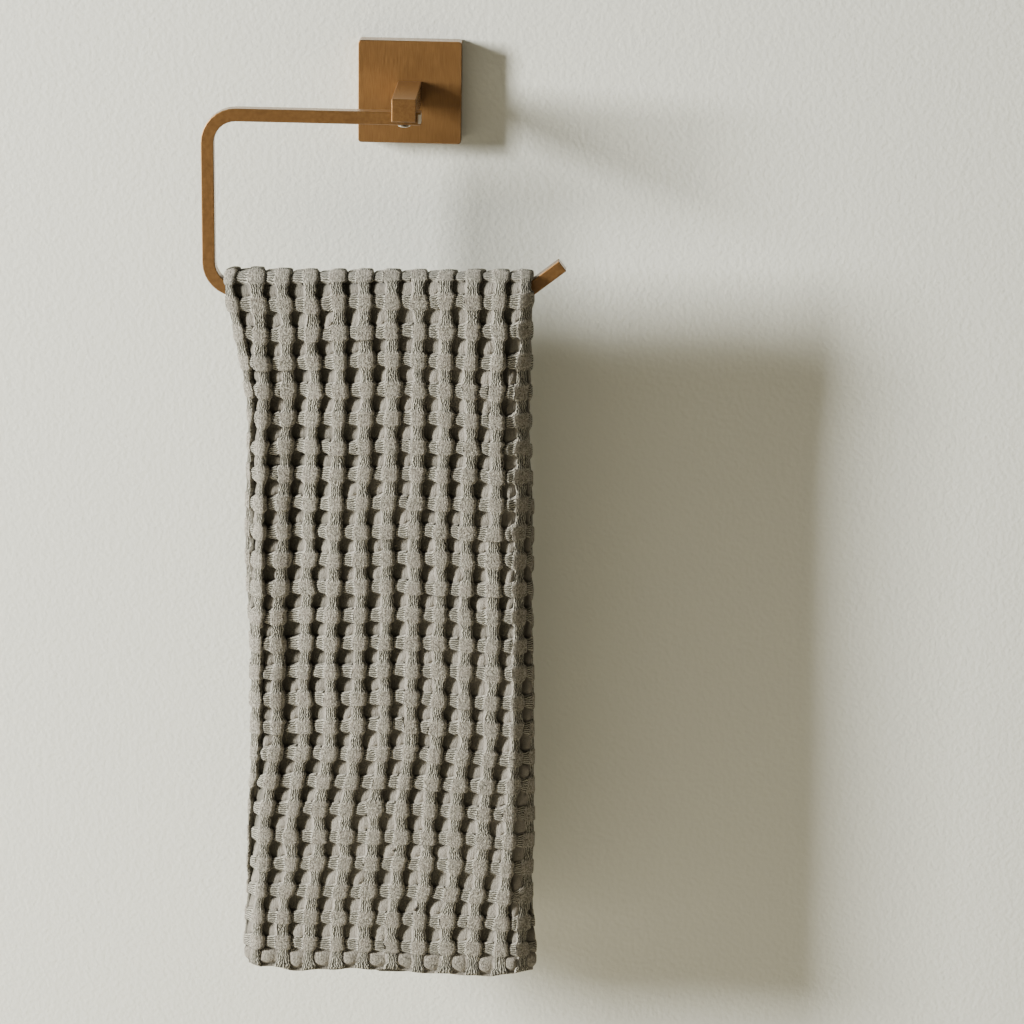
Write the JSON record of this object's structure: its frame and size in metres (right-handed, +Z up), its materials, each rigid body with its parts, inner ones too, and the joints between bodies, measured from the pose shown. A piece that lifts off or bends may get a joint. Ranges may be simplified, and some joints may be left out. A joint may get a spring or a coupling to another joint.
{
  "type": "waffle towel on a wall towel ring",
  "caption": "Deep waffle-weave cotton hand towel folded in thirds and hung over an open square ring of brushed brass bar on a square wall plate",
  "frame": {"origin": "centre of the wall plate's back face, on the wall", "axes": "+X to the right along the wall, +Y into the wall, +Z up"},
  "size_m": [0.1743, 0.0587, 0.4686],
  "materials": {
    "waffle_cloth": "warm grey cotton in a deep waffle weave, matt and slightly crinkled",
    "brushed_brass": "aged brass brushed along each piece, satin, with paler rubbed edges",
    "bare_steel": "plain bright screw head"
  },
  "bodies": {
    "root": {"towel": "waffle_cloth", "ring_bar": "brushed_brass", "post": "brushed_brass", "wall_plate": "brushed_brass", "clamp_screw": "bare_steel"}
  },
  "joints": []
}
